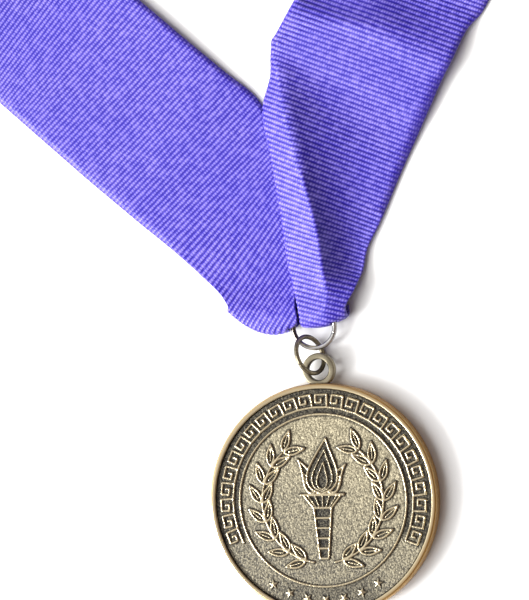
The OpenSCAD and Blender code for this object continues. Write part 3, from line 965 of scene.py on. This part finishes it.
# The strand behind is the part's, but the inner edge of its last rows stands a little higher.
# outer x, outer y, inner x, inner y, sag, underside at outer edge, underside at inner edge
LEFT_ROWS = [
    (-20.2, 42.1, -4.2, 39.3, 3.2, 1.2, 3.15),
    (-20.7, 43.2, -4.5, 41.4, 2.7, 1.2, 3.1),
    (-21.6, 44.6, -4.65, 44.5, 1.9, 1.1, 1.8),
    (-22.8, 45.9, -4.3, 48.5, 1.2, 0.8, 0.85),
    (-25.9, 48.9, -5.0, 57.0, 0.3, 0.3, 0.4),
    (-29.5, 52.3, -6.2, 67.0, 0, 0.1, 0.1),
    (-34.0, 56.3, -7.8, 77.0, 0, 0, 0),
    (-39.6, 61.0, -11.9, 86.75, 0, 0, 0.2),
    (-44.8, 65.5, -19.4, 93.6, 0, 0, 0.6),
]
# The strand in front follows the part's outline. Its ridge and its rounded foot stand a little higher than
# the part's, and four rows more take it round its corner and over a hump.
# outer x, outer y, side x, side y, sag, ridge share, underside at outer edge, at ridge, at side,
# degrees rolled under, hem beyond the roll, hollow
RIGHT_ROWS = [
    (6.6, 40.9, -3.75, 39.2, 0.8, 0.42, 3.0, 3.9, 3.4, 30, 0.4, 0.8),
    (8.6, 44.9, -4.3, 43.2, 0.6, 0.43, 2.5, 4.3, 3.6, 45, 0.3, 0.9),
    (9.3, 46.6, -4.95, 46.2, 0.5, 0.45, 1.8, 4.7, 3.4, 95, 0.8, 1.1),
    (10.0, 48.2, -5.7, 49.6, 0.2, 0.48, 1.2, 5.1, 3.2, 150, 2.0, 1.8),
    (11.2, 53.2, -7.0, 60.0, 0, 0.53, 0.6, 5.4, 2.9, 180, 3.6, 2.3),
    (14.3, 59.1, -8.7, 72.5, 0, 0.66, 0.4, 5.7, 2.8, 180, 4.0, 2.2),
    (19.6, 70.2, -10.4, 85.6, 0, 0.8, 0.3, 4.9, 2.6, 180, 2.0, 2.1),
    (22.4, 75.6, -8.8, 93.2, 0, 0.92, 0.5, 3.2, 2.3, 60, 1.0, 2.3),
    (24.5, 79.6, -8.2, 97.9, 0, 0.97, 0.9, 2.6, 2.3, 20, 0.6, 2.0),
    (25.2, 80.9, -7.95, 99.2, 0, 0.96, 1.1, 2.7, 2.4, 0, 1.0, 1.8),
    (25.9, 82.2, -7.0, 100.5, 0, 0.92, 1.2, 2.8, 2.5, 0, 1.6, 1.6),
    (28.4, 87.05, -3.7, 105.4, 0, 0.8, 1.6, 3.3, 3.1, 0, 3.0, 1.3),
    (31.9, 93.0, -0.5, 111.8, 0, 0.45, 2.2, 3.1, 0.7, 0, 4.0, 1.2),
    (34.5, 98.2, 2.3, 116.9, 0, 0.4, 1.3, 0.7, 0.1, 0, 4.0, 1.0),
]
# Fold at the ring: heading at the outer edge, heading of the rest, columns over which it changes
LEFT_FOLD = (-110, -97, 6)
RIGHT_FOLD = (-84, -90, 3)
# Slit for the ring's wire: steps of the fold and columns left out
LEFT_SLIT = (1.5, 4.5, 13.0, 15.0)
RIGHT_SLIT = (2.0, 4.0, 3.0, 5.0)
# Length of the end folded under, at the outer edge and from the middle on
TONGUE = (0.6, 5.5)

# Ribs: distance from the crossing, and the angle of the ribs there
LEFT_RIBS = [(0.0, 52.7), (16.0, 41.5), (58.0, 41.5), (74.0, 47.8)]
RIGHT_RIBS = [(-6.0, 163.1), (10.0, 157.1), (60.0, 157.1), (74.0, 151.13)]
RIB_STEPS = 24              # rounds in which a point's rib is found, and how far each goes
RIB_PACE = 0.8
RIB_PITCH = 1.0
RIB_HEIGHT = 0.19
RIB_ROUND = 0.7             # below 1 a rib is rounder than a plain wave
SELVEDGE_CLOTH = 0.45       # share of the thickness, and of the ribs' height, at the very edge
SELVEDGE_RIB = 0.3
ROW_STEP = 0.28
FADE_FROM = 62.0            # distance from the crossing where the ribs' height starts to fade
FADE_RUN = 12.0
LOOP_RELIEF = 0.2           # share of the ribs' height that is left on the free loop
COARSE_FROM = 14.0          # distance from the crossing beyond which fewer columns serve
COARSE_STEP = 0.5           # every how many columns' widths they then are
COLUMN_NAMES = 40           # numbers that name the places within one column's width
# Points for each column's width: on the strand behind, and on the three parts of the one in front
LEFT_FINE = 8
RIGHT_FINE = (10, 8, 4)
# Columns of the free loop: the first one in from each edge, and the step of those between
LOOP_EDGE = 0.5
LOOP_STEP = 2.5
# Straight rows: distance from the crossing, and the height that the inner edge is lifted
LEFT_STRAIGHT = [(42, 0.9), (53, 1.1), (64, 1.0), (74, 0.0)]
RIGHT_STRAIGHT = [(62, 0.0), (74, 0.0)]


def heading_of(degrees):
    return np.array([math.cos(math.radians(degrees)), math.sin(math.radians(degrees))])


def left_row(row, j):
    ox, oy, ix, iy, sag, under_o, under_i = row
    f = j / COLUMNS
    return np.stack([
        ox + (ix - ox) * f,
        oy + (iy - oy) * f - 4 * sag * f * (1 - f),
        under_o + (under_i - under_o) * ease(f) + CLOTH / 2,
    ], axis=1)


def right_row(row, j):
    ox, oy, sx, sy, sag, ridge_f, under_o, under_r, under_s, rolled, hem, hollow = row
    across = np.array([sx - ox, sy - oy])
    width = np.linalg.norm(across)
    ridge_q = ridge_f * width
    slope = math.atan2(under_r - under_s, width - ridge_q) if rolled else 0.0
    angle = math.radians(rolled)
    if rolled < 90:
        bulge = SIDE_ROLL * (math.sin(angle) - math.sin(slope)) + hem * math.cos(angle)
        bulge += CLOTH / 2 * math.sin(angle)
    else:
        bulge = SIDE_ROLL * (1 - math.sin(slope)) + CLOTH / 2
    side_q = width - bulge
    turn = max(angle - slope, 0.0)
    roll = SIDE_ROLL * turn
    rest = roll + hem
    curl = max(roll, LEAST_CURL * rest)
    side_z = under_s + CLOTH / 2
    centre_q = side_q - SIDE_ROLL * math.sin(slope)
    centre_z = side_z - SIDE_ROLL * math.cos(slope)
    rise = np.clip(j / RIDGE_COL, 0, 1)
    fall = np.clip((j - RIDGE_COL) / (SIDE_COL - RIDGE_COL), 0, 1)
    curling = np.clip((j - SIDE_COL) / (CURL_COL - SIDE_COL), 0, 1)
    hemming = np.clip(j - CURL_COL, 0, 1)
    along = curl * curling + (rest - curl) * hemming
    a = slope + np.minimum(along / SIDE_ROLL, turn)
    past = np.maximum(along - roll, 0)
    q = np.where(j <= RIDGE_COL, ridge_q * rise, ridge_q + (side_q - ridge_q) * fall)
    z = np.where(
        j <= RIDGE_COL,
        under_o + (under_r - under_o) * rise ** hollow,
        under_r + (under_s - under_r) * fall,
    ) + CLOTH / 2
    q = np.where(j > SIDE_COL, centre_q + SIDE_ROLL * np.sin(a) + past * np.cos(a), q)
    z = np.where(j > SIDE_COL, centre_z + SIDE_ROLL * np.cos(a) - past * np.sin(a), z)
    f = q / width
    x = ox + across[0] * f
    y = oy + across[1] * f - 4 * sag * f * (1 - f)
    return np.stack([x, y, z], axis=1)


def with_plan(row):
    """A row with each point's place on the unrolled cloth beside it."""
    return np.hstack([row, row[:, :2]])


def fold_row(row, fold, step, j):
    """A row of the fold at the ring: the given row, carried round to the back by some of the steps."""
    turn = math.pi * step / FOLD_STEPS
    radius = (row[:, 2] - BACK_Z) / 2
    lean = np.radians(fold[0] + (fold[1] - fold[0]) * ease(j / fold[2]))
    out = np.stack([np.cos(lean), np.sin(lean)], axis=1)
    flat = row[:, :2] + out * (radius * math.sin(turn))[:, None]
    height = BACK_Z + radius * (1 + math.cos(turn))
    plan = row[:, :2] + out * (radius * turn)[:, None]
    return np.hstack([flat, height[:, None], plan])


def tongue_row(row, fold, j):
    last = fold_row(row, fold, FOLD_STEPS, j)
    reach = TONGUE[0] + (TONGUE[1] - TONGUE[0]) * ease(2 * j / COLUMNS)
    way = last[:, 3:] - row[:, :2]
    way /= np.maximum(np.linalg.norm(way, axis=1), 1e-6)[:, None]
    last[:, 1] += reach
    last[:, 3:] += way * reach[:, None]
    return last


def roll_at(distance):
    return 90 * ease((distance - TWIST_START) / TWIST_RUN)


def free_row(centre, heading, roll, j):
    """A straight row that rests on the floor, rolled towards standing on its edge."""
    roll = math.radians(roll)
    h = math.radians(heading)
    along = np.array([math.cos(roll) * math.sin(h), -math.cos(roll) * math.cos(h), math.sin(roll)])
    height = RIBBON_W / 2 * math.sin(roll) + CLOTH / 2 * math.cos(roll)
    middle = np.array([centre[0], centre[1], height])
    return middle + RIBBON_W * (j / COLUMNS - 0.5)[:, None] * along


def loop_row(distance, j):
    """A section of the free loop, by its distance along the middle from the left strand's end."""
    start = RUN - TWIST_START
    round_part = LOOP_RADIUS * math.radians(LOOP_TURN)
    left_end = CROSSING + RUN * heading_of(LEFT_HEADING)
    if distance < start:
        d = TWIST_START + distance
        return free_row(CROSSING + d * heading_of(LEFT_HEADING), LEFT_HEADING, roll_at(d), j)
    if distance < start + round_part:
        gone = distance - start
        heading = LEFT_HEADING - math.degrees(gone / LOOP_RADIUS)
        middle = left_end + LOOP_RADIUS * heading_of(LEFT_HEADING - 90)
        centre = middle + LOOP_RADIUS * heading_of(heading + 90)
        return free_row(centre, heading, roll_at(RUN + min(gone, round_part - gone)), j)
    d = RUN - (distance - start - round_part)
    return free_row(CROSSING + d * heading_of(RIGHT_HEADING), RIGHT_HEADING - 180, roll_at(d), j)


def smooth_rows(coarse, step):
    """More rows between the given ones, on a smooth curve through each column of points."""
    gaps = np.linalg.norm(np.diff(coarse[:, :, :3], axis=0), axis=2)
    pace = 0.5 * (gaps.mean(axis=1) + gaps.max(axis=1))
    knots = np.concatenate([[0], np.cumsum(np.maximum(pace, 1e-3))])
    spans = np.diff(knots)[:, None, None]
    slopes = np.diff(coarse, axis=0) / spans
    bends = np.empty_like(coarse)
    bends[0] = slopes[0]
    bends[-1] = slopes[-1]
    bends[1:-1] = (slopes[1:] * spans[:-1] + slopes[:-1] * spans[1:]) / (spans[:-1] + spans[1:])
    rows, stations = [], []
    for k, span in enumerate(np.diff(knots)):
        count = max(2, int(math.ceil(span / step)))
        for m in range(count):
            t = m / count
            a = 2 * t ** 3 - 3 * t ** 2 + 1
            b = t ** 3 - 2 * t ** 2 + t
            c = 3 * t ** 2 - 2 * t ** 3
            d = t ** 3 - t ** 2
            rows.append(a * coarse[k] + b * span * bends[k] + c * coarse[k + 1] + d * span * bends[k + 1])
            stations.append(k + t)
    rows.append(coarse[-1])
    stations.append(len(coarse) - 1.0)
    return np.array(rows), np.array(stations)


def rib_field(plan, heading, ribs):
    """Distance along the strand of the rib through each point, and the place across it."""
    way = heading_of(heading)
    at, angle = np.array(ribs).T

    def seen_from(d):
        lean = np.radians(np.interp(d, at, angle))
        return lean, plan - CROSSING - d[..., None] * way

    d = (plan - CROSSING) @ way
    for _ in range(RIB_STEPS):
        lean, offset = seen_from(d)
        normal = np.stack([-np.sin(lean), np.cos(lean)], axis=-1)
        d = d + RIB_PACE * (offset * normal).sum(axis=-1) / (normal @ way)
    lean, offset = seen_from(d)
    return d, offset[..., 0] * np.cos(lean) + offset[..., 1] * np.sin(lean)


def rib_shape(distance):
    return np.abs(np.sin(np.pi * distance / RIB_PITCH)) ** RIB_ROUND


def cloth_normals(grid):
    along = np.gradient(grid, axis=0)
    across = np.gradient(grid, axis=1)
    normal = np.cross(across, along)
    return normal / np.maximum(np.linalg.norm(normal, axis=2, keepdims=True), 1e-9)


def column_name(j):
    """A whole number that names a column of the ribbon by its place across, the same in every part."""
    return int(round(j * COLUMN_NAMES))


def coarse_columns(j):
    return [k for k, value in enumerate(j) if abs(value / COARSE_STEP - round(value / COARSE_STEP)) < 1e-6]


class Cloth:
    """The points, faces and painted values of the ribbon while it is put together, row by row."""

    def __init__(self):
        self.points = []
        self.across = []
        self.along = []
        self.from_edge = []
        self.faces = []
        self.rows = []

    def add_row(
        self, middle, normal, across, along, j, upper, under, relief, ribbed_under=True, slit=None,
    ):
        """One row, from the columns that it keeps above and below.

        relief is its share of the ribs' height, and slit the columns left open up to the next row.
        """
        edge = np.minimum(j, COLUMNS - j) / COLUMNS * RIBBON_W
        selvedge = edge < 1e-6
        half = CLOTH / 2 * np.where(selvedge, SELVEDGE_CLOTH, 1.0)
        rib = relief * RIB_HEIGHT * (rib_shape(along) - 0.5) * np.where(selvedge, SELVEDGE_RIB, 1.0)
        sides = []
        for sign, kept, ribbed in ((1, upper, True), (-1, under, ribbed_under)):
            placed = middle + sign * (half + (rib if ribbed else 0))[:, None] * normal
            numbers = {}
            for k in kept:
                numbers[column_name(j[k])] = len(self.points)
                self.points.append(tuple(placed[k]))
                self.across.append(across[k])
                self.along.append(along[k])
                self.from_edge.append(edge[k])
            sides.append(numbers)
        self.rows.append((sides[0], sides[1], slit))

    def add_face(self, face, flip):
        self.faces.append(face[::-1] if flip else face)

    def strip(self, here, ahead, flip, slit):
        """Faces between two rows that may have different columns; a slit is left open."""
        cells = list(here if len(here) <= len(ahead) else ahead)
        for low, high in zip(cells[:-1], cells[1:]):
            if slit and slit[0] <= low and high <= slit[1]:
                continue
            if len(here) == len(ahead):
                face = [here[low], here[high], ahead[high], ahead[low]]
            else:
                face = [here[k] for k in here if low <= k <= high]
                face += [ahead[k] for k in ahead if low <= k <= high][::-1]
            self.add_face(face, flip)

    def wall_along(self, here, ahead, column, flip):
        self.add_face([here[0][column], ahead[0][column], ahead[1][column], here[1][column]], flip)

    def wall_across(self, row, low, high, flip):
        face = [row[0][k] for k in row[0] if low <= k <= high]
        self.add_face(face + [row[1][k] for k in row[1] if low <= k <= high][::-1], flip)

    def close(self):
        """Joins the rows into one closed skin, with walls at the edges, the ends and round the slits."""
        last = max(self.rows[0][0])
        before = None
        for here, ahead in zip(self.rows[:-1], self.rows[1:]):
            slit = here[2]
            self.strip(here[0], ahead[0], False, slit)
            self.strip(here[1], ahead[1], True, slit)
            for column, flip in ((0, False), (last, True)):
                if not (slit and slit[0] <= column <= slit[1]):
                    self.wall_along(here, ahead, column, flip)
            if slit:
                for column, flip in ((slit[0], True), (slit[1], False)):
                    if 0 < column < last:
                        self.wall_along(here, ahead, column, flip)
            if slit and not before:
                self.wall_across(here, slit[0], slit[1], False)
            if before and not slit:
                self.wall_across(here, before[0], before[1], True)
            before = slit
        self.wall_across(self.rows[0], 0, last, True)
        self.wall_across(self.rows[-1], 0, last, False)


def lay_strand(cloth, j, front, row_maker, straight, fold, slit, heading, ribs, starts, forward):
    """One strand: the end folded under, the fold at the ring, the laid part, and its straight end.

    forward is true for the strand that the ribbon starts with; starts is the rib number at the crossing.
    """
    first = row_maker(front[0], j)
    coarse = [tongue_row(first, fold, j)]
    coarse += [fold_row(first, fold, step, j) for step in range(FOLD_STEPS, 0, -1)]
    coarse += [with_plan(row_maker(row, j)) for row in front]
    for distance, lift in straight:
        centre = CROSSING + distance * heading_of(heading)
        row = free_row(centre, heading if forward else heading - 180, 0.0, j)
        row[:, 2] += lift * (j / COLUMNS) ** 3
        coarse.append(with_plan(row))
    rows, stations = smooth_rows(np.array(coarse), ROW_STEP)
    along, across = rib_field(rows[:, :, 3:], heading, ribs)
    rows = rows[:, :, :3]
    if not forward:
        rows, stations, along, across = rows[::-1], stations[::-1], -along[::-1], across[::-1]
    normals = cloth_normals(rows)
    every, some = range(len(j)), coarse_columns(j)
    gap = [column_name(value) for value in slit[2:]]
    for i in range(len(rows)):
        distance = abs(along[i].mean())
        near = distance < COARSE_FROM
        relief = 1 - (1 - LOOP_RELIEF) * ease((distance - FADE_FROM) / FADE_RUN)
        middle = stations[min(i + 1, len(rows) - 1)] / 2 + stations[i] / 2
        step = FOLD_STEPS + 1 - middle
        open_here = gap if slit[0] < step < slit[1] else None
        rows[i, :, 2] = np.maximum(rows[i, :, 2], BACK_Z + relief * RIB_HEIGHT / 2)
        cloth.add_row(
            rows[i], normals[i], across[i], along[i] / RIB_PITCH + starts, j,
            every if near else some, some, relief, not near, open_here,
        )


def lay_loop(cloth, j, ribs, length):
    """The free loop, with one row on each rib and one in each groove."""
    grid = np.array([loop_row(length * k / ribs / 2, j) for k in range(1, 2 * ribs)])
    normals = cloth_normals(grid)
    every = range(len(j))
    for i, row in enumerate(grid):
        along = np.full(len(j), TWIST_START / RIB_PITCH + (i + 1) / 2)
        cloth.add_row(row, normals[i], RIBBON_W * (j / COLUMNS - 0.5), along, j, every, every, LOOP_RELIEF)


def make_ribbon(material):
    left_j = np.linspace(0, COLUMNS, LEFT_FINE * COLUMNS + 1)
    right_j = np.zeros(1)
    for start, end, fine in zip((0, RIDGE_COL, SIDE_COL), (RIDGE_COL, SIDE_COL, COLUMNS), RIGHT_FINE):
        right_j = np.append(right_j, np.linspace(start, end, fine * (end - start) + 1)[1:])
    between = np.arange(LOOP_STEP, COLUMNS, LOOP_STEP)
    loop_j = np.array([0, LOOP_EDGE, *between, COLUMNS - LOOP_EDGE, COLUMNS])
    loop_length = 2 * (RUN - TWIST_START) + LOOP_RADIUS * math.radians(LOOP_TURN)
    loop_ribs = int(round(loop_length / RIB_PITCH))
    cloth = Cloth()
    lay_strand(
        cloth, left_j, LEFT_ROWS, left_row, LEFT_STRAIGHT, LEFT_FOLD, LEFT_SLIT, LEFT_HEADING, LEFT_RIBS,
        0.0, True,
    )
    lay_loop(cloth, loop_j, loop_ribs, loop_length)
    lay_strand(
        cloth, right_j, RIGHT_ROWS, right_row, RIGHT_STRAIGHT, RIGHT_FOLD, RIGHT_SLIT, RIGHT_HEADING,
        RIGHT_RIBS, 2 * TWIST_START / RIB_PITCH + loop_ribs, False,
    )
    cloth.close()
    piece = make_object(
        "grosgrain_ribbon", cloth.points, cloth.faces, material, {"from_edge": cloth.from_edge}
    )
    mesh = piece.data
    corner = np.empty(len(mesh.loops), dtype=np.int32)
    mesh.loops.foreach_get("vertex_index", corner)
    weave = np.stack([np.array(cloth.across)[corner], np.array(cloth.along)[corner]], axis=1)
    mesh.uv_layers.new(name="weave").data.foreach_set("uv", weave.ravel().astype(np.float32))
    return piece


floor_material = make_paper()
brass = make_antique_brass()
dark_brass = make_dark_brass()
nickel = make_bright_nickel()
grosgrain = make_violet_grosgrain()

medal = make_medal(brass)
jump_ring = make_wire_ring("jump_ring", JUMP_AT, JUMP_LEAN, JUMP_R, JUMP_WIRE, JUMP_SEAM, dark_brass)
nickel_ring = make_wire_ring("nickel_ring", HOLD_AT, HOLD_LEAN, HOLD_R, HOLD_WIRE, HOLD_SEAM, nickel)
ribbon = make_ribbon(grosgrain)

for piece, node, finish in (
    (medal, "medal", "antique_brass"),
    (jump_ring, "medal_ring", "dark_brass"),
    (nickel_ring, "ribbon_ring", "bright_nickel"),
    (ribbon, "neck_ribbon", "violet_grosgrain"),
):
    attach(piece, "root")
    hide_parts(node)


# Floor and light: a large softbox and a low window on the left, in a room that darkens to the right
FLOOR_HALF = 2.5
FLOOR_DROP = 0.00002
SKY_STRENGTH = 0.9
SOFTBOX_POWER = 19.0
SOFTBOX_AT = (-0.66, -0.22, 0.72)
SOFTBOX_SIZE = 1.1
WINDOW_POWER = 17.0
WINDOW_AT = (-0.88, -0.34, 0.58)
WINDOW_SIZE = 0.34


def make_floor(material):
    mesh = bpy.data.meshes.new("floor")
    signs = ((-1, -1), (1, -1), (1, 1), (-1, 1))
    corners = [(x * FLOOR_HALF, y * FLOOR_HALF, -FLOOR_DROP) for x, y in signs]
    mesh.from_pydata(corners, [], [(0, 1, 2, 3)])
    mesh.materials.append(material)
    floor = bpy.data.objects.new("floor", mesh)
    bpy.context.scene.collection.objects.link(floor)


def add_light(name, place, size, power, mirrored=True):
    """A soft square light that faces the medal; mirrored is false for one that no metal reflects."""
    data = bpy.data.lights.new(name, "AREA")
    data.shape = "SQUARE"
    data.size = size
    data.energy = power
    lamp = bpy.data.objects.new(name, data)
    bpy.context.scene.collection.objects.link(lamp)
    lamp.location = place
    lamp.rotation_euler = Vector(place).to_track_quat("Z", "Y").to_euler()
    lamp.visible_glossy = mirrored


def make_sky():
    """A pale room: bright on the left, where the light comes from, and dim on the right."""
    world = bpy.data.worlds.new("studio")
    bpy.context.scene.world = world
    world.use_nodes = True
    tree = world.node_tree
    way = put(tree, "ShaderNodeTexCoord").outputs["Generated"]
    split = put(tree, "ShaderNodeSeparateXYZ", {"Vector": way})
    side = soft_step(tree, split.outputs["X"], -1.0, 0.6)
    colour = blend_colour(tree, side, rgb(1.0, 1.0, 1.0), rgb(0.19, 0.14, 0.12))
    tree.links.new(colour, tree.nodes["Background"].inputs["Color"])
    tree.nodes["Background"].inputs["Strength"].default_value = SKY_STRENGTH


make_floor(floor_material)
make_sky()
add_light("softbox", SOFTBOX_AT, SOFTBOX_SIZE, SOFTBOX_POWER, mirrored=False)
add_light("window", WINDOW_AT, WINDOW_SIZE, WINDOW_POWER)
bpy.context.scene.view_settings.view_transform = "Standard"
